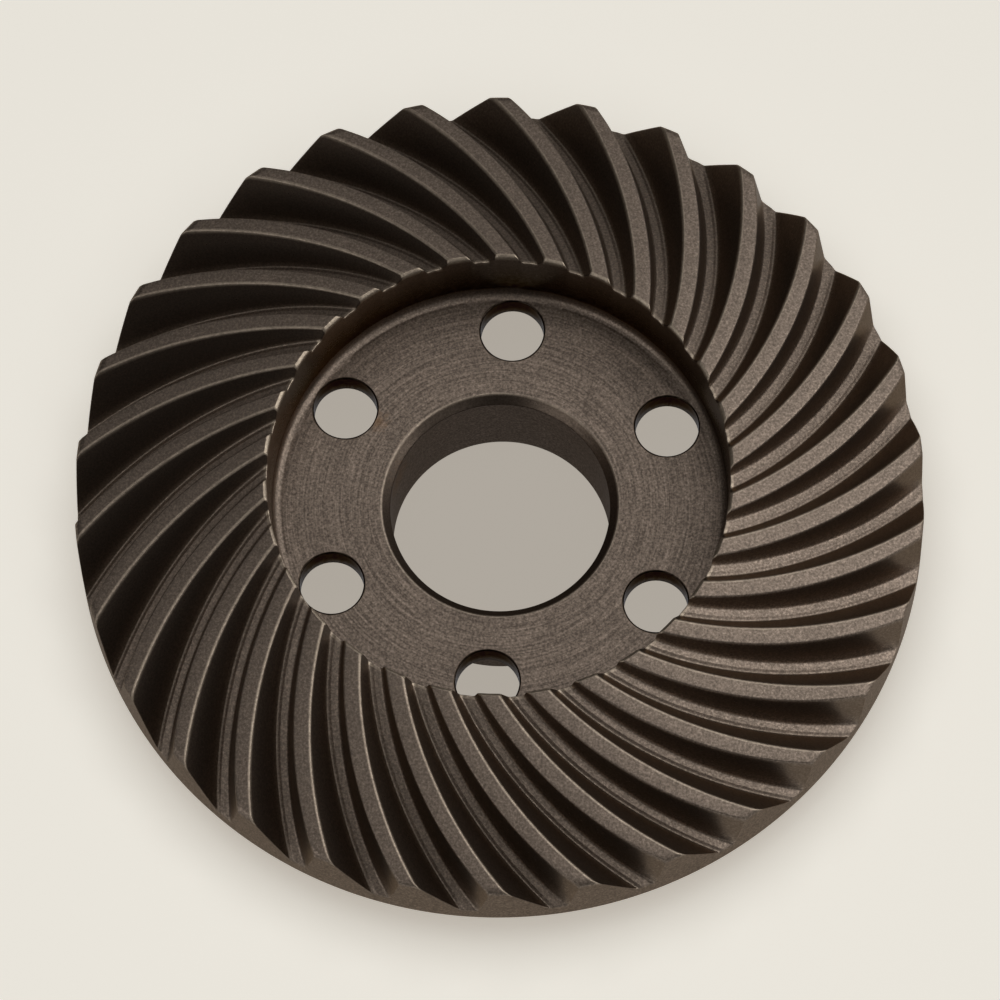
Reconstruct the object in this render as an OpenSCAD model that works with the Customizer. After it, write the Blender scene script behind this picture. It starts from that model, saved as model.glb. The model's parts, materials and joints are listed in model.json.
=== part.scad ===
// Spiral bevel ring gear, one steel piece: a turned blank with a hub below, a dished web inside a
// toothed rim, a plain bore, six lock-pin holes, and curved tooth spaces cut with a face mill.
// Millimetres, +Z up. The origin is on the gear's axis, on the end face of the hub.

/* [Blank] */
// Outside diameter of the rim
outside_d = 77; // [74:0.5:82]
// Height of the tooth tips above the rim's back, at the outside diameter (heel)
heel_h = 7.25; // [7:0.05:8.5]
// Diameter of the tooth tips at the inner (toe) end
toe_d = 41.8; // [41.4:0.1:43]
// Height of the tooth tips above the rim's back, at the toe end
toe_h = 11.25; // [10.5:0.05:12.5]
// Small chamfer where the tooth tips end at heel and toe
tip_chamfer = 0.3; // [0.1:0.05:0.5]
// Chamfer along the back edge of the rim
rim_chamfer = 0.25; // [0.1:0.05:0.6]

/* [Web and hub] */
// Thickness of the web between hub and teeth
web_t = 2.9; // [2.5:0.1:4]
// Draft of the wall between web and teeth, in degrees
wall_draft = 4; // [1:0.5:8]
// Fillet at the foot of that wall
wall_fillet = 1.1; // [0.4:0.1:1.2]
// Outside diameter of the hub
hub_d = 24; // [23:0.5:26]
// Length of the hub below the rim's back
hub_h = 7.9; // [4:0.1:10]
// Fillet between the hub and the rim's back
hub_fillet = 0.8; // [0.3:0.1:1.5]
// Chamfer on the outer edge of the hub's end face
hub_chamfer = 0.4; // [0.2:0.1:0.6]

/* [Bore and lock holes] */
// Diameter of the bore
bore_d = 20; // [18:0.1:20.5]
// Chamfer at the web end of the bore
bore_chamfer = 0.7; // [0.3:0.05:0.8]
// Chamfer at the hub end of the bore
bore_back_chamfer = 0.4; // [0.2:0.1:0.6]
// Number of lock-pin holes
lock_holes = 6; // [3:1:8]
// Diameter of a lock-pin hole
lock_d = 6; // [4:0.1:6.2]
// Diameter of the circle the lock-pin holes lie on
lock_circle_d = 34; // [33:0.1:34.5]
// Lead-in chamfer of a lock-pin hole, on the back
lock_chamfer = 0.4; // [0.2:0.1:1]

/* [Teeth] */
// Number of teeth
teeth = 30; // [26:1:34]
// Radius at which the tooth spaces are set out, near the middle of the teeth
mid_r = 29.7; // [29:0.1:31]
// Depth of a tooth space at that radius
mid_depth = 3.15; // [2.5:0.05:3.4]
// Slope of the tooth spaces' bottom, falling outward, in degrees
root_slope = 22.6; // [19:0.1:24]
// Spiral angle of the teeth at that radius, in degrees
spiral = 36.7; // [32:0.1:40]
// Radius of the face mill that cuts the tooth spaces
cutter_r = 39.1; // [36:0.1:44]
// Width of the blades at their tips
blade_tip_w = 1.2; // [0.8:0.05:1.4]
// Slope of the inside of the blades, in degrees
blade_inside = 27.1; // [22:0.1:29]
// Slope of the outside of the blades, in degrees
blade_outside = 18.1; // [16:0.1:24]
// Corner bevel of the blade tips, which leaves the fillet at the foot of the teeth
blade_bevel = 0.22; // [0.1:0.02:0.35]
// Angle of the first tooth space round the axis, in degrees
first_space = 4.7; // [0:0.1:12]

/* [Hidden] */
steel = "#575049";

outside_r = outside_d / 2;
toe_r = toe_d / 2;
bore_r = bore_d / 2;
hub_r = hub_d / 2;
lock_r = lock_d / 2;
lock_circle_r = lock_circle_d / 2;

back_z = hub_h;
web_z = back_z + web_t;
heel_z = back_z + heel_h;
toe_z = back_z + toe_h;

// The tooth tips lie on a cone, which falls from toe to heel
face_fall = (toe_z - heel_z) / (outside_r - toe_r);
function tip_z(r) = toe_z - (r - toe_r) * face_fall;
mid_root_z = tip_z(mid_r) - mid_depth;

// The wall leans outward from its fillet up to the teeth
wall_foot_r = toe_r - (toe_z - web_z) * tan(wall_draft);
fillet_steps = 6;
quarter = 90;

// The cutter swings past both ends of a tooth space, and its blades reach clear of the tips
cutter_arc = 48;
blade_h = 6.5;
clear = 1;

// Points on a quarter of a circle about [x, z], from one angle to another
function arc(x, z, r, from, to) =
    [for (i = [0:fillet_steps]) let (a = from + (to - from) * i / fillet_steps) [x + r * cos(a), z + r * sin(a)]];

// Half section of the turned blank: radius along x, height along y
function blank_section() = concat(
    [[bore_r - clear, 0], [hub_r - hub_chamfer, 0], [hub_r, hub_chamfer]],
    arc(hub_r + hub_fillet, back_z - hub_fillet, hub_fillet, 2 * quarter, quarter),
    [[outside_r - rim_chamfer, back_z], [outside_r, back_z + rim_chamfer]],
    [[outside_r, heel_z - tip_chamfer], [outside_r - tip_chamfer, tip_z(outside_r - tip_chamfer)]],
    [[toe_r + tip_chamfer, tip_z(toe_r + tip_chamfer)]],
    [[toe_r - tip_chamfer * tan(wall_draft), toe_z - tip_chamfer]],
    arc(wall_foot_r - wall_fillet, web_z + wall_fillet, wall_fillet, 0, -quarter),
    [[bore_r - clear, web_z]]
);

module blank() {
    rotate_extrude($fn = 240)
        polygon(blank_section());
}

// Plain bore along the axis, chamfered at both ends
module bore() {
    translate([0, 0, -clear])
        cylinder(r = bore_r, h = web_z + 2 * clear, $fn = 120);
    translate([0, 0, web_z - bore_chamfer])
        cylinder(r1 = bore_r, r2 = bore_r + bore_chamfer + clear, h = bore_chamfer + clear, $fn = 120);
    translate([0, 0, -clear])
        cylinder(r1 = bore_r + bore_back_chamfer + clear, r2 = bore_r, h = bore_back_chamfer + clear, $fn = 120);
}

// One lock-pin hole through the web, with its lead-in at the back
module lock_hole() {
    translate([lock_circle_r, 0, back_z - clear])
        cylinder(r = lock_r, h = web_t + 2 * clear + wall_fillet, $fn = 64);
    translate([lock_circle_r, 0, back_z - clear])
        cylinder(r1 = lock_r + lock_chamfer + clear, r2 = lock_r, h = lock_chamfer + clear, $fn = 64);
}

// Section of the cutter's blades: distance from the cutter's axis along x, height above the tips along y
function blade_section() = [
    [cutter_r - blade_tip_w / 2 - blade_h * tan(blade_inside), blade_h],
    [cutter_r - blade_tip_w / 2 - blade_bevel * tan(blade_inside), blade_bevel],
    [cutter_r - blade_tip_w / 2 + blade_bevel, 0],
    [cutter_r + blade_tip_w / 2 - blade_bevel, 0],
    [cutter_r + blade_tip_w / 2 + blade_bevel * tan(blade_outside), blade_bevel],
    [cutter_r + blade_tip_w / 2 + blade_h * tan(blade_outside), blade_h]
];

// One tooth space: the path of the blades, in the sloping plane that touches the bottom of the teeth
module tooth_space() {
    translate([mid_r, 0, mid_root_z])
        rotate([0, root_slope, 0])
            translate([-cutter_r * sin(spiral), cutter_r * cos(spiral), 0])
                rotate([0, 0, spiral - quarter - cutter_arc / 2])
                    rotate_extrude(angle = cutter_arc, $fn = 360)
                        polygon(blade_section());
}

module ring_gear() {
    color(steel)
        difference() {
            blank();
            bore();
            for (i = [0:lock_holes - 1])
                rotate([0, 0, quarter + i * 360 / lock_holes])
                    lock_hole();
            for (i = [0:teeth - 1])
                rotate([0, 0, first_space + i * 360 / teeth])
                    tooth_space();
        }
}

ring_gear();
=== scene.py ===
import json
import bmesh
import bpy
import numpy as np
from mathutils import Matrix, Vector


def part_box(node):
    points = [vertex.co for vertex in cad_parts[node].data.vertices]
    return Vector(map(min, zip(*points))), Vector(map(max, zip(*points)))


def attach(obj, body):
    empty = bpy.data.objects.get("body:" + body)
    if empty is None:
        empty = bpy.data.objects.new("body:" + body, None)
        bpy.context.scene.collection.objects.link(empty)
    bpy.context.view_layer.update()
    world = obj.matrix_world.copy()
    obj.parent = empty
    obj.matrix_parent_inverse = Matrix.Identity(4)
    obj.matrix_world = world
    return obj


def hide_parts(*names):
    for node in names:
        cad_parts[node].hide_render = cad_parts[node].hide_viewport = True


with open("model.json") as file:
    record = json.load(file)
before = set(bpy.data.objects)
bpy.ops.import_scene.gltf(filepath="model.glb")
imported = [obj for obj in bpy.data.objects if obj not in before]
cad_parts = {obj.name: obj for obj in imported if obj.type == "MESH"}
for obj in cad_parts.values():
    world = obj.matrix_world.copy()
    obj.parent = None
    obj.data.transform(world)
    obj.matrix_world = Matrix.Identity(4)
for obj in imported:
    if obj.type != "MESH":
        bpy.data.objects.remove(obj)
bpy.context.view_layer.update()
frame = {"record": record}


# Teeth
# Thirty curved teeth, cut into the turned steel blank with a face mill: flat lands on a cone, dark flanks,
# and roots with the shallow channel that the two sets of blades leave along one side.

mm = 0.001
low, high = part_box("ring_gear")
mounts = {mount["name"]: mount for mount in frame["record"]["mounts"]}
heel_r = (high.x - low.x) / 2 / mm
top_z = high.z / mm
teeth = 30
pitch = 2 * np.pi / teeth
face_w = 17.6
half_face = face_w / 2
toe_r = heel_r - face_w
mid_r = heel_r - half_face

# The lands' cone starts at the toe's corner as it was before chamfering; the roots' cone is steeper
toe_sharp = 0.07
toe_tip_z = top_z + toe_sharp
land_drop = 4.0
land_fall = land_drop / face_w
root_mid_depth = 5.2
root_mid_z = toe_tip_z - root_mid_depth
root_half_drop = 3.9
root_fall = root_half_drop / half_face

# Where each line along a tooth lies, in degrees round the axis: at the middle of the face, then its
# sweep, bow and twist towards the heel
land_left = (7.686, 13.087, -0.895, 0.686)
land_right = (11.246, 12.130, -1.007, 0.409)
root_right = (15.51, 13.940, -1.143, 0.150)
root_left = (18.27, 13.102, -0.898, 0.438)

tip_chamfer = 0.3
edge_round = 0.17
toe_round = 0.14
heel_round = 0.1
root_round = 0.3
root_tilt = 0.1
foot_round = 0.14
channel_w = 0.26
channel_d = 0.06
channel_run = 0.24
channel_round = channel_w * 0.3

# How bright the lands' right edges are, partly wear and partly a painted highlight where they catch the
# light from the right; how bright the feet below them are, a painted highlight; how bright wear shows at the
# toe, and how much of the toe's wear the milled roots are spared
edge_wear_with_highlight = 0.36
foot_painted_highlight = 0.12
toe_worn = 0.62
root_spared = 0.5

# The gear is one steel piece, so it has one closed skin: every surface lays its points here and is woven to
# its neighbours along shared rings
skin_points = []
skin_finish = []
skin_quads = []
skin_tris = []


def lay(points, wear_and_highlight=0.0, cut_shade_level=0.0, turned=0.0, milled=0.0):
    """Adds an array of points [..., 3] in mm to the skin, with how worn (with a painted highlight on the
    lands' right edges and feet), smoothly cut (painted black as painted shade beyond 1), turned or milled the
    steel is there, and returns the points' numbers in the same array shape."""
    start = sum(len(laid) for laid in skin_points)
    shape = points.shape[:-1]
    finish = np.stack([np.broadcast_to(value, shape) for value in (wear_and_highlight, cut_shade_level, turned, milled)], axis=-1)
    skin_points.append(points.reshape(-1, 3) * mm)
    skin_finish.append(finish.reshape(-1, 4))
    return start + np.arange(np.prod(shape)).reshape(shape)


def weave(numbers, closed=True):
    """Quads between neighbouring rows and columns of a grid of point numbers; a closed grid's last column
    meets its first."""
    if closed:
        numbers = np.concatenate([numbers, numbers[:, :1]], axis=1)
    quads = np.stack([numbers[:-1, :-1], numbers[:-1, 1:], numbers[1:, 1:], numbers[1:, :-1]], axis=-1)
    skin_quads.append(quads.reshape(-1, 4))


def around(r, turn, z):
    """Points at radius r, angle turn and height z, which broadcast together."""
    r, turn, z = np.broadcast_arrays(r, turn, z)
    return np.stack([r * np.cos(turn), r * np.sin(turn), z], axis=-1)


def along_tooth(line, r):
    """Angle of a line along a tooth at radius r: a cubic in the distance from the middle of the face."""
    start, sweep, bow, twist = np.radians(line)
    q = (r - mid_r) / half_face
    return start + sweep * q + bow * q**2 + twist * q**3


def rounded(before, corner, after, reach, steps, most=0.45):
    """Corner of a section as a curve: leaves the line from `before` at `reach` from the corner, but at no
    more than the share `most` of that line, and bends into the line to `after` in the same way (a parabola
    with the corner as its control point)."""
    back, ahead = before - corner, after - corner
    back_len = np.linalg.norm(back, axis=-1, keepdims=True)
    ahead_len = np.linalg.norm(ahead, axis=-1, keepdims=True)
    near = corner + back / back_len * np.minimum(reach, most * back_len)
    far = corner + ahead / ahead_len * np.minimum(reach, most * ahead_len)
    u = np.linspace(0, 1, steps)[:, None]
    return (1 - u) ** 2 * near[:, None] + 2 * u * (1 - u) * corner[:, None] + u**2 * far[:, None]


def between(start, end, shares):
    """Points at the given shares of the way from start to end."""
    share = np.asarray(shares)[:, None]
    return start[:, None] * (1 - share) + end[:, None] * share


# Rows from toe to heel, close together where the ends are chamfered and rounded
toe_rows = 5
face_rows = 46
heel_rows = 4
row_gap = 0.02
tooth_r = toe_r + np.concatenate([
    toe_round * (1 - np.cos(np.linspace(0, np.pi / 2, toe_rows))),
    [tip_chamfer - row_gap],
    np.linspace(tip_chamfer + 2 * row_gap, face_w - tip_chamfer, face_rows),
    face_w - heel_round * (1 - np.sin(np.linspace(0, np.pi / 2, heel_rows))),
])

# The blank's height, its ends chamfered, and the rounding that runs over lands and roots alike
tip_z = toe_tip_z - (tooth_r - toe_r) * land_fall
toe_drop = np.clip(toe_r + tip_chamfer - tooth_r, 0, None)
heel_drop = np.clip(tooth_r - heel_r + tip_chamfer, 0, None)
land_z = tip_z - toe_drop - heel_drop
root_z = root_mid_z - (tooth_r - mid_r) * root_fall
toe_in = np.clip(toe_r + toe_round - tooth_r, 0, toe_round)
heel_in = np.clip(tooth_r - heel_r + heel_round, 0, heel_round)
toe_end_drop = toe_round - np.sqrt(toe_round**2 - toe_in**2)
end_drop = toe_end_drop + heel_round - np.sqrt(heel_round**2 - heel_in**2)


def section_point(line, z):
    """Point of the section on each row's cylinder: length along the circle and height."""
    return np.stack([along_tooth(line, tooth_r) * tooth_r, z], axis=-1)


# The flanks run straight from the full tip to the root, so a chamfered land is a little wider
shallow = ((tip_z - land_z) / (tip_z - root_z))[:, None]
one_pitch = np.stack([pitch * tooth_r, 0 * tooth_r], axis=-1)
foot_right = section_point(root_right, root_z + root_tilt - channel_d)
foot_left = section_point(root_left, root_z)
corner_right = section_point(land_right, tip_z) * (1 - shallow) + foot_right * shallow
corner_left = section_point(land_left, tip_z) * (1 - shallow) + (foot_left - one_pitch) * shallow
next_left = corner_left + one_pitch
channel_edge = foot_right + np.array([channel_w, 0])
channel_end = channel_edge + np.array([channel_run, channel_d])

# The section of one tooth and the space after it, strip by strip from the land's left edge
edge_left = rounded(foot_left - one_pitch, corner_left, corner_right, edge_round, steps=3)
edge_right = rounded(corner_left, corner_right, foot_right, edge_round, steps=4)
soft_right = rounded(corner_right, foot_right, channel_edge, foot_round, steps=3)
soft_channel = rounded(foot_right, channel_edge, channel_end, channel_round, steps=3)
soft_left = rounded(channel_end, foot_left, next_left, root_round, steps=5)
strips = {
    "left edge": edge_left,
    "land": between(edge_left[:, -1], edge_right[:, 0], (0.5, 0.94)),
    "right edge": edge_right,
    "right flank": between(edge_right[:, -1], soft_right[:, 0], (0.06, 0.3, 0.6, 0.85)),
    "right foot": soft_right,
    "channel": soft_channel,
    "root": between(channel_end, soft_left[:, 0], (0.0, 0.06, 0.5)),
    "left foot": soft_left,
    "left flank": between(soft_left[:, -1], edge_left[:, 0] + one_pitch, (0.3, 0.6, 0.9)),
}
section = np.concatenate(list(strips.values()), axis=1)

# Finish of the section's points: the right edges are worn and carry a painted highlight, the right feet a
# painted highlight, the flanks smoothly cut, the roots milled
strip_of = np.repeat(list(strips), [strip.shape[1] for strip in strips.values()])
highlighted_strips = [strip_of == "right edge", strip_of == "right foot"]
section_wear_highlight = np.tile(np.select(highlighted_strips, [edge_wear_with_highlight, foot_painted_highlight], 0.0), teeth)
section_cut = np.tile(np.isin(strip_of, ["right flank", "left flank"]).astype(float), teeth)
section_milled = np.tile(np.isin(strip_of, ["root", "left foot"]).astype(float), teeth)
toe_row_worn = np.where(tooth_r < toe_r + tip_chamfer, toe_worn, 0.0)[:, None]
end_worn = toe_row_worn * (1 - section_cut) * (1 - root_spared * section_milled)

section_turn = section[..., 0] / tooth_r[:, None]
tooth_turn = (section_turn[:, None, :] + pitch * np.arange(teeth)[None, :, None]).reshape(len(tooth_r), -1)
tooth_z = np.tile(section[..., 1] - end_drop[:, None], (1, teeth))
tooth_grid = lay(around(tooth_r[:, None], tooth_turn, tooth_z), wear_and_highlight=np.maximum(section_wear_highlight, end_worn),
                 cut_shade_level=section_cut, milled=section_milled)
weave(tooth_grid)


# Wall, web and lock holes
# Inside the teeth a drafted wall drops to a thin turned web, with a fillet at the wall's foot. Six plain
# holes for a lock pin are drilled through the web, so close to the wall that they cut into the fillet.

web_depth = 8.28
web_t = 2.9
web_z = top_z - web_depth
web_back_z = web_z - web_t
wall_draft = 0.25
wall_foot_r = toe_r - wall_draft
wall_fillet = 0.7
groove_r = wall_foot_r - wall_fillet
groove_w = 0.12
groove_d = 0.02
columns = 360
turn = np.arange(columns) * 2 * np.pi / columns

# The wall is smoothly cut, more so towards its foot, where it is painted darker as painted shade, and its
# turned rings are faint
wall_cut_top = 0.8
wall_cut_shade_gain = 1.3
wall_turned = 0.2
fillet_turned = 0.25


def zip_rings(ring_a, turn_a, ring_b, turn_b):
    """Triangles between two rings with different spacing. Each ring is sorted by angle, and each step along
    one ring makes a triangle with the point of the other ring that comes last before the step's end."""
    a, b = np.argsort(turn_a % (2 * np.pi)), np.argsort(turn_b % (2 * np.pi))
    ring_a, turn_a = ring_a[a], (turn_a % (2 * np.pi))[a]
    ring_b, turn_b = ring_b[b], (turn_b % (2 * np.pi))[b]
    met_b = np.searchsorted(turn_b, np.roll(turn_a, -1), side="left") - 1
    met_a = np.searchsorted(turn_a, np.roll(turn_b, -1), side="right") - 1
    skin_tris.append(np.stack([ring_a, np.roll(ring_a, -1), ring_b[met_b]], axis=-1))
    skin_tris.append(np.stack([np.roll(ring_b, -1), ring_b, ring_a[met_a]], axis=-1))


def web_height(r):
    """Height of the web's upper side at radius r: flat, with a fine turned groove, then the fillet's arc."""
    into = np.clip(r - groove_r, 0, wall_fillet)
    arc = wall_fillet - np.sqrt(np.clip(wall_fillet**2 - into**2, 0, None))
    groove = groove_d * np.exp(-((r - groove_r) / groove_w) ** 2)
    return web_z + arc - groove


def turned_share(r):
    """How plainly the turning tool's rings show at radius r: fully on the flat web, faintly on the fillet."""
    return np.where(r > groove_r, fillet_turned, 1.0)


wall_shares = np.array([0.06, 0.2, 0.45, 0.7, 0.88])[:, None]
wall_top_z = tooth_z[0]
wall_foot_z = web_z + wall_fillet
wall_points = around(toe_r + (wall_foot_r - toe_r) * wall_shares, tooth_turn[0],
                     wall_top_z + (wall_foot_z - wall_top_z) * wall_shares)
wall_rows = lay(wall_points, cut_shade_level=wall_cut_top + wall_cut_shade_gain * wall_shares, turned=wall_turned)
wall_grid = np.concatenate([tooth_grid[:1], wall_rows])
weave(wall_grid)

# Each lock hole is a little narrower below its rounded rim, and its patch of the web spans lock_half
# columns to each side and a margin of rows within and beyond
lock = mounts["lock_holes"]["dims"]
lock_round = 0.12
lock_wide = 0.02
lock_r = lock["hole_r_mm"] + lock_wide - lock_round
lock_circle_r = lock["pcd_mm"] / 2
lock_count = int(lock["count"])
lock_back_chamfer = 0.4
# The holes' rims and walls are cut far beyond 1, so they are painted black as painted shade
lock_rim_cut_shade = 2.0
lock_wall_cut_shade = 2.2
lock_half = 13
patch_in = 0.7
patch_out = 0.3
ring_in_r = lock_circle_r - lock_r - patch_in
ring_out_r = lock_circle_r + lock_r + patch_out

bore_r = mounts["bore"]["dims"]["r_mm"]
bore_chamfer = 0.8
rim_round = 0.08
web_in_r = bore_r + bore_chamfer + 2 * rim_round

# Rows of the web from the bore's rim outwards: plain, round the holes with the groove, and up the fillet
rows_before = 4
ring_rows = 12
fillet_rows = 8
before_r = np.linspace(web_in_r, ring_in_r, rows_before + 1)[:-1]
plain_r = np.linspace(ring_in_r, groove_r - 0.4, ring_rows)
ring_r = np.concatenate([plain_r, groove_r + np.array([-0.2, -0.1, 0, 0.1]), [ring_out_r]])
arc_r = groove_r + wall_fillet * np.sin(np.linspace(0, np.pi / 2, fillet_rows))
fillet_r = arc_r[arc_r > ring_out_r + row_gap]
top_r = np.concatenate([before_r, ring_r, fillet_r])
web_points = around(top_r[:, None], turn, web_height(top_r)[:, None])
web_grid = lay(web_points, turned=turned_share(top_r)[:, None])
zip_rings(wall_grid[-1], tooth_turn[0], web_grid[-1], turn)


def towards(bearing):
    """Unit vector, seen from above, at a bearing from the X axis."""
    return np.stack([np.cos(bearing), np.sin(bearing)], axis=-1)


def pierced_ring(grid, first, last, height, rim_r, ring_cut_shade):
    """Weaves a polar grid whose rows first to last hold the lock holes. Near each hole the grid gives way to
    a patch between a ring of radius rim_r round the hole and the patch's edge: points go straight from the
    ring to the edge, and take their height from `height`. The ring is as smoothly cut as the last argument
    says, and is painted black as painted shade where that goes beyond 1. Returns the holes' centres, with the
    bearings and numbers of their rings' points."""
    weave(grid[:first + 1])
    weave(grid[last:])
    span = columns // lock_count
    rows = np.arange(first, last + 1)
    share = np.array([0.0, 0.12, 0.3, 0.5, 0.75])[:, None, None]
    rings = []
    for hole in range(lock_count):
        middle = (columns // 4 + hole * span) % columns
        left, right = middle - lock_half, middle + lock_half
        arc = np.arange(left, right + 1) % columns
        rest = np.arange(right, left + span + 1) % columns
        weave(grid[first:last + 1][:, rest], closed=False)
        edge = np.concatenate([grid[last, arc], grid[rows[::-1], arc[-1]][1:],
                               grid[first, arc[::-1]][1:], grid[rows, arc[0]][1:-1]])
        laid = np.concatenate(skin_points)[edge] / mm
        centre = lock_circle_r * towards(turn[middle])
        away = laid[:, :2] - centre
        bearing = np.unwrap(np.arctan2(away[:, 1], away[:, 0]))
        rim = centre + rim_r * towards(bearing)
        flat = rim * (1 - share) + laid[:, :2] * share
        flat_r = np.linalg.norm(flat, axis=-1)
        patch_points = np.concatenate([flat, height(flat_r)[..., None]], axis=-1)
        patch_cut_shade = np.where(share > 0, 0.0, ring_cut_shade)[..., 0]
        patch = lay(patch_points, cut_shade_level=patch_cut_shade, turned=turned_share(flat_r))
        weave(np.concatenate([patch, edge[None]]))
        rings.append((centre, bearing, patch[0]))
    return rings


last_row = rows_before + len(ring_r) - 1
top_rings = pierced_ring(web_grid, rows_before, last_row, web_height, lock_r + lock_round, lock_rim_cut_shade)


# Back, hub and bore
# The unseen side of the steel blank: a flat turned back, a short hub below it that rests on the table, and
# the plain bore through both, pressed on a spindle and chamfered at both ends.

hub_r = 12.0
hub_fillet = 0.8
hub_chamfer = 0.4
bore_back_chamfer = 0.4
bore_lower_z = web_z * 0.5
bore_upper_z = web_z * 0.6
rim_chamfer = 0.25
back_turned = 0.7
side_turned = 0.4
bore_rim_worn = 0.3
# The bore's chamfer is cut a little beyond 1, so the black painted shade darkens it a little
bore_chamfer_cut_shade = 1.12


def back_height(r):
    """The back is flat."""
    return np.full_like(r, web_back_z)


def turned_profile(corners, reach=rim_round, steps=4):
    """Section of a turned surface through (radius, height) corners, every inner corner rounded."""
    corners = np.array(corners, dtype=float)[:, None]
    pieces = [corners[0]]
    for before, corner, after in zip(corners[:-2], corners[1:-1], corners[2:]):
        pieces.append(rounded(before, corner, after, reach, steps)[0])
    return np.concatenate(pieces + [corners[-1]])


# Rows of the back: round the holes, with more room than on the web, then plain to near the rim
back_rows = 12
back_in_r = ring_in_r - 0.4
back_out_r = ring_out_r + 1.0
plain_in_r = 24
plain_out_r = heel_r - 0.6
back_r = np.concatenate([np.linspace(back_in_r, back_out_r, back_rows),
                         np.linspace(plain_in_r, plain_out_r, 4)])
back_grid = lay(around(back_r[:, None], turn, web_back_z), turned=back_turned)
back_rings = pierced_ring(back_grid, 0, back_rows - 1, back_height, lock_r + lock_back_chamfer, 0.0)

# From the back down the hub, over its end face and up the bore to the web
hub_arc = np.linspace(0, np.pi / 2, 6)
hub_blend = np.stack([hub_r + hub_fillet * (1 - np.sin(hub_arc)),
                      web_back_z - hub_fillet * (1 - np.cos(hub_arc))], axis=-1)
hub_end = turned_profile([(hub_r, web_back_z - hub_fillet * 2), (hub_r, hub_chamfer),
                          (hub_r - hub_chamfer, 0), (bore_r + bore_back_chamfer, 0),
                          (bore_r, bore_back_chamfer), (bore_r, bore_lower_z)])
chamfer_points = [(bore_r + bore_chamfer * share, web_z - bore_chamfer * (1 - share))
                  for share in (0, 0.25, 0.75, 1)]
bore_top = turned_profile([(bore_r, bore_upper_z)] + chamfer_points + [(web_in_r, web_z)])
inner_side = np.concatenate([hub_blend, hub_end, bore_top[:-1]])
inner_z = inner_side[:, 1:]
at_rim = inner_z > web_z - rim_round
at_chamfer = (inner_z > web_z - bore_chamfer) & (inner_z < web_z - rim_round)
inner_rows = lay(around(inner_side[:, :1], turn, inner_z), wear_and_highlight=np.where(at_rim, bore_rim_worn, 0.0),
                 cut_shade_level=np.where(at_chamfer, bore_chamfer_cut_shade, 0.0), turned=side_turned)
weave(np.concatenate([back_grid[:1], inner_rows, web_grid[:1]]))

# The outer side, from the back's edge up to the teeth
outer_in_r = heel_r - 0.5
outer_top_z = web_back_z + 0.8
outer_side = turned_profile([(outer_in_r, web_back_z), (heel_r - rim_chamfer, web_back_z),
                             (heel_r, web_back_z + rim_chamfer), (heel_r, outer_top_z)])
outer_rows = lay(around(outer_side[:, :1], turn, outer_side[:, 1:]), turned=side_turned)
weave(np.concatenate([back_grid[-1:], outer_rows]))
band_foot_z = web_back_z + 1.0
band_shares = np.array([0.04, 0.2, 0.5])[:, None]
band_z = tooth_z[-1] + (band_foot_z - tooth_z[-1]) * band_shares
band_rows = lay(around(heel_r, tooth_turn[-1], band_z), turned=side_turned)
band_grid = np.concatenate([tooth_grid[-1:], band_rows])
weave(band_grid)
zip_rings(band_grid[-1], tooth_turn[-1], outer_rows[-1], turn)

# Hole walls, from the rounded upper rim down to the chamfer at the back, painted black as painted shade
quarter = np.linspace(0, np.pi / 2, 4)[1:, None]
hole_r = np.concatenate([lock_r + lock_round * (1 - np.sin(quarter)), [[lock_r], [lock_r]]])
hole_foot_z = web_back_z + lock_back_chamfer
for (centre, bearing, top_ring), (_, back_bearing, back_ring) in zip(top_rings, back_rings):
    rim_z = web_height(np.linalg.norm(centre + lock_r * towards(bearing), axis=-1))
    hole_z = np.concatenate([rim_z - lock_round * (1 - np.cos(quarter)),
                             (rim_z + hole_foot_z)[None] / 2, np.full_like(rim_z, hole_foot_z)[None]])
    hole_xy = centre + hole_r[..., None] * towards(bearing)
    hole_rows = lay(np.concatenate([hole_xy, hole_z[..., None]], axis=-1), cut_shade_level=lock_wall_cut_shade)
    weave(np.concatenate([top_ring[None], hole_rows]))
    zip_rings(hole_rows[-1], bearing, back_ring, back_bearing)


# One mesh
# The woven skin becomes the mesh of the one steel piece. Its normals are averaged by face area, so flat
# lands stay flat up to their rounded edges.

quads = np.concatenate(skin_quads)
tris = np.concatenate(skin_tris)
used, corner_points = np.unique(np.concatenate([quads.ravel(), tris.ravel()]), return_inverse=True)
corners_of_face = np.r_[np.full(len(quads), 4), np.full(len(tris), 3)]
starts = np.cumsum(corners_of_face) - corners_of_face
points = np.concatenate(skin_points)[used]
finish = np.concatenate(skin_finish)[used]

gear_mesh = bpy.data.meshes.new("toothed_gear")
gear_mesh.vertices.add(len(points))
gear_mesh.vertices.foreach_set("co", points.astype(np.float32).ravel())
gear_mesh.loops.add(len(corner_points))
gear_mesh.loops.foreach_set("vertex_index", corner_points.astype(np.int32))
gear_mesh.polygons.add(len(starts))
gear_mesh.polygons.foreach_set("loop_start", starts.astype(np.int32))
gear_mesh.update(calc_edges=True)
finish_attribute = gear_mesh.attributes.new("finish", "FLOAT_COLOR", "POINT")
finish_attribute.data.foreach_set("color", finish.astype(np.float32).ravel())

shell = bmesh.new()
shell.from_mesh(gear_mesh)
bmesh.ops.recalc_face_normals(shell, faces=shell.faces)
shell.to_mesh(gear_mesh)
shell.free()

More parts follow.
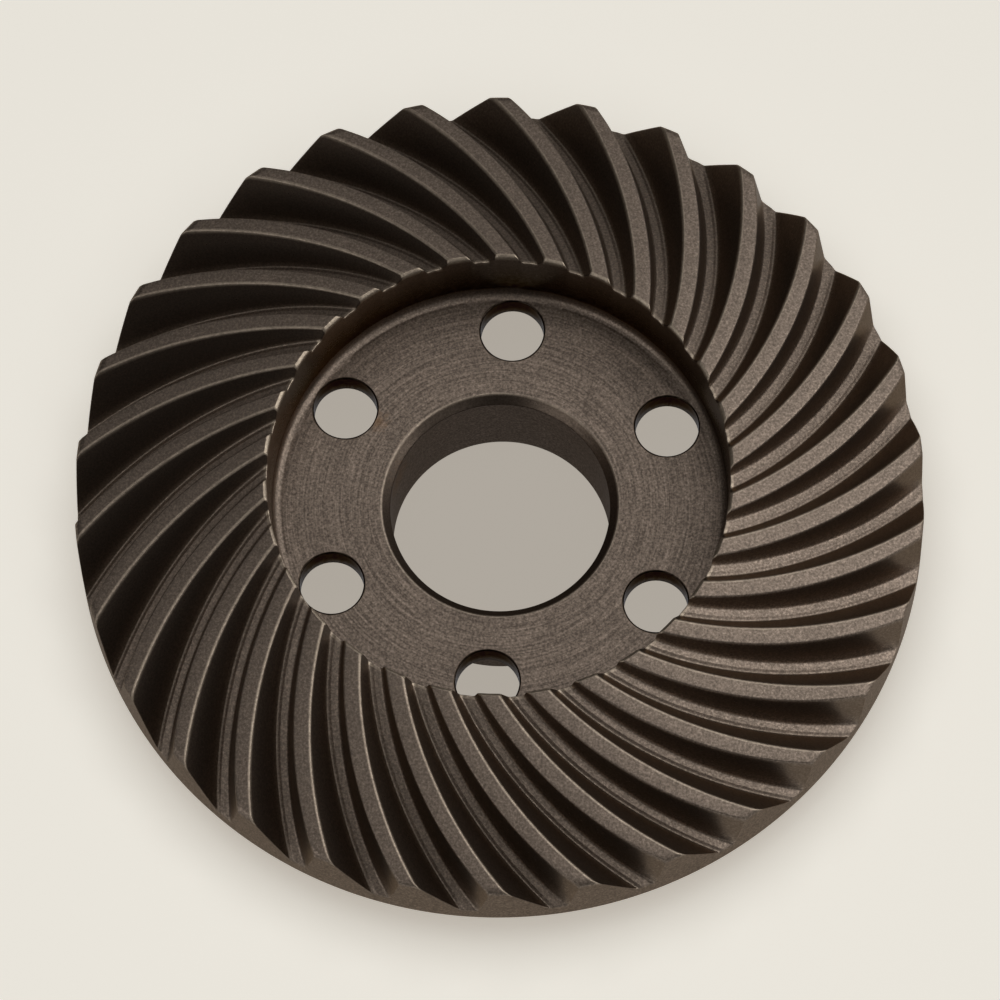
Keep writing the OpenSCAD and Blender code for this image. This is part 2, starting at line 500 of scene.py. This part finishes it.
normals = np.empty(len(gear_mesh.polygons) * 3, np.float32)
areas = np.empty(len(gear_mesh.polygons), np.float32)
corner_vertex = np.empty(len(gear_mesh.loops), np.int32)
gear_mesh.polygons.foreach_get("normal", normals)
gear_mesh.polygons.foreach_get("area", areas)
gear_mesh.loops.foreach_get("vertex_index", corner_vertex)
weighted = normals.reshape(-1, 3) * areas[:, None]
vertex_normals = np.zeros((len(points), 3))
np.add.at(vertex_normals, corner_vertex, np.repeat(weighted, corners_of_face, axis=0))
vertex_normals /= np.linalg.norm(vertex_normals, axis=1, keepdims=True)
gear_mesh.polygons.foreach_set("use_smooth", np.ones(len(areas), bool))
gear_mesh.normals_split_custom_set_from_vertices(vertex_normals.tolist())

gear = bpy.data.objects.new("toothed_gear", gear_mesh)
bpy.context.scene.collection.objects.link(gear)
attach(gear, "root")
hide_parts("ring_gear")


# Steel finish
# Dark phosphated steel, satin and finely grained. The toe corners are worn bright, the lands' right edges are
# worn and carry a painted highlight, and the feet below them a painted highlight; the flanks are smoother and
# darker, the holes' walls and the wall's foot are painted black as painted shade, and the web shows the rings
# of its turning tool.

phosphate_dark = (0.135, 0.107, 0.085, 1)
phosphate_light = (0.36, 0.284, 0.227, 1)
turned_dark = (0.085, 0.067, 0.054, 1)
turned_light = (0.425, 0.335, 0.267, 1)
milled_dark = (0.17, 0.135, 0.107, 1)
milled_light = (0.51, 0.404, 0.322, 1)
flank_brown = (0.12, 0.09, 0.068, 1)
# Black of the painted shade deep in the holes, at the wall's foot and a little on the bore's chamfer
shade_black_colour = (0.012, 0.008, 0.005, 1)
rust = (0.24, 0.125, 0.05, 1)
# Bright bare steel of the wear, also used for the painted highlight on the lands' right edges and feet
bright_wear_highlight = (0.62, 0.52, 0.40, 1)
edge_tint = (0.5, 0.43, 0.37, 1)

# How much of each finish shows where the skin has it in full
ring_share = 0.3
cloud_share = 0.05
milled_share = 0.35
flank_share = 0.5
flank_polish = 0.14
rust_share = 0.45

# Middle and reach of the two rust stains, in metres: beside a hole, and on the bore's wall
stains = [((-0.01157, 0.00745, web_z * mm), 0.0011), ((-0.00959, 0.00285, 0.0080), 0.0022)]

steel = bpy.data.materials.new("dark_phosphated_steel")
steel.use_nodes = True
steel_tree = steel.node_tree
steel_shader = steel_tree.nodes["Principled BSDF"]


def node(tree, kind, settings=None, **inputs):
    """New node of a kind, with its settings and with inputs set by name: a socket is linked, a value is set.
    An underscore in a name stands for a space, and a number after "in" picks an input by place."""
    made = tree.nodes.new("ShaderNode" + kind)
    for name, value in (settings or {}).items():
        setattr(made, name, value)
    for name, value in inputs.items():
        by_place = name[:2] == "in" and name[2:].isdigit()
        socket = made.inputs[int(name[2:]) if by_place else name.replace("_", " ")]
        if isinstance(value, bpy.types.NodeSocket):
            tree.links.new(value, socket)
        else:
            socket.default_value = value
    return made


def mix(tree, share, plain, other):
    """Colour between `plain` and `other`."""
    return node(tree, "Mix", {"data_type": "RGBA"}, in0=share, in6=plain, in7=other).outputs[2]


def steel_mix(share, plain, other):
    """Colour of the steel between `plain` and `other`."""
    return mix(steel_tree, share, plain, other)


def steel_math(operation, a, b=0.0, clamp=False):
    """One step of arithmetic on the steel's values."""
    return node(steel_tree, "Math", {"operation": operation, "use_clamp": clamp}, in0=a, in1=b).outputs[0]


def steel_span(value, low_in, high_in, low_out, high_out):
    """Straight ramp of a value, held at its ends."""
    return node(steel_tree, "MapRange", {"clamp": True}, Value=value, From_Min=low_in, From_Max=high_in,
                To_Min=low_out, To_Max=high_out).outputs[0]


def steel_noise(at, scale, detail, roughness):
    """Noise at a place of the steel, about 0.5."""
    return node(steel_tree, "TexNoise", Vector=at, Scale=scale, Detail=detail,
                Roughness=roughness).outputs["Fac"]


place = node(steel_tree, "TexCoord").outputs["Object"]
grain = steel_noise(place, scale=4600.0, detail=3.0, roughness=0.7)
cloud = steel_noise(place, scale=260.0, detail=3.0, roughness=0.55)
rag = steel_noise(place, scale=2200.0, detail=2.0, roughness=0.6)

# Rings of the turning tool: noise that changes fast along the section and slowly round the axis
rings_per_metre = 6000.0
ring_breaks = 2.0
x, y, z = node(steel_tree, "SeparateXYZ", Vector=place).outputs
radius = steel_math("SQRT", steel_math("ADD", steel_math("MULTIPLY", x, x), steel_math("MULTIPLY", y, y)))
ring_place = node(steel_tree, "CombineXYZ",
                  X=steel_math("MULTIPLY", steel_math("ADD", radius, z), rings_per_metre),
                  Y=steel_math("MULTIPLY", steel_math("DIVIDE", x, radius), ring_breaks),
                  Z=steel_math("MULTIPLY", steel_math("DIVIDE", y, radius), ring_breaks)).outputs[0]
rings = steel_noise(ring_place, scale=1.0, detail=1.0, roughness=0.5)

finish_seen = node(steel_tree, "Attribute", {"attribute_name": "finish"})
# Channels of the finish: wear with painted highlight, smooth cut with painted black shade beyond 1, turning,
# and milling
wear_and_highlight, cut_shade_level, turned = node(steel_tree, "SeparateColor", Color=finish_seen.outputs["Color"]).outputs
milled = finish_seen.outputs["Alpha"]

# Dark and light specks of the grain, with the turned rings in it and a slow cloud over it
blend = steel_math("MULTIPLY", turned, ring_share)
plain_grain = steel_math("MULTIPLY", grain, steel_math("SUBTRACT", 1.0, blend))
marks = steel_math("ADD", plain_grain, steel_math("MULTIPLY", rings, blend))
clouding = steel_math("MULTIPLY", steel_math("SUBTRACT", cloud, 0.5), cloud_share)
specks = steel_span(steel_math("ADD", marks, clouding), 0.28, 0.72, 0.0, 1.0)
speckle = steel_math("POWER", specks, 1.6)

phosphate = steel_mix(speckle, phosphate_dark, phosphate_light)
lathe = steel_mix(speckle, turned_dark, turned_light)
ringed = steel_mix(turned, phosphate, lathe)
coarse = steel_mix(speckle, milled_dark, milled_light)
raw = steel_mix(steel_math("MULTIPLY", milled, milled_share), ringed, coarse)
smooth = steel_mix(steel_math("MULTIPLY", cut_shade_level, flank_share, clamp=True), raw, flank_brown)

# What is cut beyond 1 lies deep in a hole, at the wall's foot or on the bore's chamfer, and is painted
# black there as painted shade, with a ragged edge
black_shade_amount = steel_math("SUBTRACT", cut_shade_level, 1.0, clamp=True)
black_shade_share = steel_math("MULTIPLY", black_shade_amount, steel_span(rag, 0.4, 0.6, 0.8, 1.1), clamp=True)
colour = steel_mix(black_shade_share, smooth, shade_black_colour)

# Two faint rust stains, where damp has stood
for middle, reach in stains:
    apart = node(steel_tree, "VectorMath", {"operation": "DISTANCE"}, in0=place, in1=middle).outputs["Value"]
    ragged = steel_math("ADD", apart, steel_math("MULTIPLY", steel_math("SUBTRACT", rag, 0.5), reach * 2))
    colour = steel_mix(steel_span(ragged, 0.0, reach, rust_share, 0.0), colour, rust)

# Wear, with the painted highlight on the lands' right edges and feet, follows the worn corners, ragged
wear_highlight_share = steel_math("MULTIPLY", wear_and_highlight, steel_span(rag, 0.35, 0.65, 0.5, 1.1), clamp=True)
colour = steel_mix(wear_highlight_share, colour, bright_wear_highlight)

satin = steel_span(speckle, 0.0, 1.0, 0.52, 0.4)
rough = steel_math("SUBTRACT", satin, steel_math("MULTIPLY", cut_shade_level, flank_polish))
ring_relief = steel_math("MULTIPLY", steel_math("MULTIPLY", rings, turned), 0.8)
relief = steel_math("ADD", steel_math("MULTIPLY", grain, 0.7), ring_relief)
bump = node(steel_tree, "Bump", Strength=0.4, Distance=0.03 * mm, Height=relief).outputs[0]
steel_shader.inputs["Metallic"].default_value = 0.95
steel_shader.inputs["Specular Tint"].default_value = edge_tint
steel_tree.links.new(colour, steel_shader.inputs["Base Color"])
steel_tree.links.new(rough, steel_shader.inputs["Roughness"])
steel_tree.links.new(bump, steel_shader.inputs["Normal"])
gear_mesh.materials.append(steel)


# Camera
# The photograph looks down at the gear from a long lens, turned a little about its own axis. The middle of
# the web is seen at aim_px, and everything else follows from the angles, the distance and the lens.

view_elevation = np.radians(69.732)
view_roll = np.radians(-3.001)
view_turn = np.radians(6.62)
view_distance = 0.7303
focal_px = 8026.95
frame_px = 1000
aim_px = (499.92, 504.45)

to_camera = np.array([0, -np.cos(view_elevation), np.sin(view_elevation)])
level = np.array([1.0, 0, 0])
upward = np.cross(to_camera, level)
right = np.cos(view_roll) * level + np.sin(view_roll) * upward
up = -np.sin(view_roll) * level + np.cos(view_roll) * upward
spin = np.array(Matrix.Rotation(view_turn, 3, "Z"))
to_camera, right, up = spin @ to_camera, spin @ right, spin @ up
aim = np.array([0, 0, web_z * mm])
px = view_distance / focal_px
shift_up = up * (aim_px[1] - frame_px / 2) * px
shift_right = right * (aim_px[0] - frame_px / 2) * px
camera_at = aim + to_camera * view_distance + shift_up - shift_right

camera_data = bpy.data.cameras.new("camera")
camera_data.sensor_width = 36
camera_data.lens = focal_px / frame_px * camera_data.sensor_width
camera_data.clip_start = 0.01
camera = bpy.data.objects.new("camera", camera_data)
camera.matrix_world = Matrix(np.r_[np.c_[right, up, to_camera, camera_at], [[0, 0, 0, 1]]])
bpy.context.scene.collection.objects.link(camera)
bpy.context.scene.camera = camera


# Floor and light
# A pale studio table, a hair below the hub's end face, with a painted shadow under the gear, and seen a
# little lifted in its shadows as on the photograph, and soft light from the right and from behind.

floor_half = 1.5
floor_z = -0.02 * mm
shade_in_r = 0.024
shade_out_r = 0.037
table_painted_shadow = (0.02, 0.02, 0.02, 1)
table_pale = (0.83, 0.845, 0.80, 1)
glow_on_gear = (0.222, 0.23, 0.247, 1)
glow_seen = (0.418, 0.381, 0.332, 1)
studio_dim = (0.04, 0.037, 0.034, 1)

floor_corners = [(-floor_half, -floor_half, floor_z), (floor_half, -floor_half, floor_z),
                 (floor_half, floor_half, floor_z), (-floor_half, floor_half, floor_z)]
floor_mesh = bpy.data.meshes.new("table")
floor_mesh.from_pydata(floor_corners, [], [(0, 1, 2, 3)])
floor = bpy.data.objects.new("table", floor_mesh)
bpy.context.scene.collection.objects.link(floor)

# Under the gear the table is painted dark as a painted shadow, so its holes and bore look into an even shade
table_paint = bpy.data.materials.new("table_paint")
table_paint.use_nodes = True
table_tree = table_paint.node_tree
table_shader = table_tree.nodes["Principled BSDF"]
table_place = node(table_tree, "TexCoord").outputs["Object"]
table_r = node(table_tree, "VectorMath", {"operation": "LENGTH"}, in0=table_place).outputs["Value"]
open_share = node(table_tree, "MapRange", {"interpolation_type": "SMOOTHSTEP"}, Value=table_r,
                  From_Min=shade_in_r, From_Max=shade_out_r).outputs[0]
table_tree.links.new(mix(table_tree, open_share, table_painted_shadow, table_pale), table_shader.inputs["Base Color"])
table_shader.inputs["Roughness"].default_value = 1.0
table_shader.inputs["Specular IOR Level"].default_value = 0.0
seen = node(table_tree, "LightPath").outputs["Is Camera Ray"]
table_tree.links.new(mix(table_tree, seen, glow_on_gear, glow_seen), table_shader.inputs["Emission Color"])
table_shader.inputs["Emission Strength"].default_value = 1.0
floor_mesh.materials.append(table_paint)

world = bpy.data.worlds.new("studio")
bpy.context.scene.world = world
world.use_nodes = True
world.node_tree.nodes["Background"].inputs["Color"].default_value = studio_dim


def softbox(name, subject, bearing, height, brightness, spread=22, away=0.6):
    """Round soft light for one subject, which faces the gear from a bearing and height in degrees; its disc
    spans `spread` degrees to each side as seen from the gear, and looks `brightness` bright."""
    data = bpy.data.lights.new(name, "AREA")
    data.shape = "DISK"
    data.size = 2 * away * np.tan(np.radians(spread))
    data.energy = brightness * np.pi * np.pi * (data.size / 2) ** 2
    turn_rad, height_rad = np.radians([bearing, height])
    at = Vector(around(np.cos(height_rad), turn_rad, np.sin(height_rad))) * away
    light = bpy.data.objects.new(name, data)
    light.location = at
    light.rotation_euler = (-at).to_track_quat("-Z", "Y").to_euler()
    light.light_linking.receiver_collection = bpy.data.collections.new(name)
    light.light_linking.receiver_collection.objects.link(subject)
    bpy.context.scene.collection.objects.link(light)


softbox("table_light", floor, 90, 90, 2.92, spread=18)
softbox("table_fill", floor, 290, 74, 1.0, spread=24)
softbox("above", gear, 0, 90, 0.26)
softbox("right", gear, 0, 62, 0.92)
softbox("right_far", gear, 45, 62, 0.2)
softbox("behind", gear, 90, 62, 0.6)
softbox("left", gear, 180, 62, 0.07)
softbox("right_low", gear, 0, 35, 1.15)
softbox("right_behind", gear, 45, 35, 1.0)
softbox("right_near", gear, 315, 35, 0.31)
softbox("left_low", gear, 225, 35, 1.1)
softbox("right_side", gear, 0, 12, 1.29)
bpy.context.scene.view_settings.view_transform = "Standard"
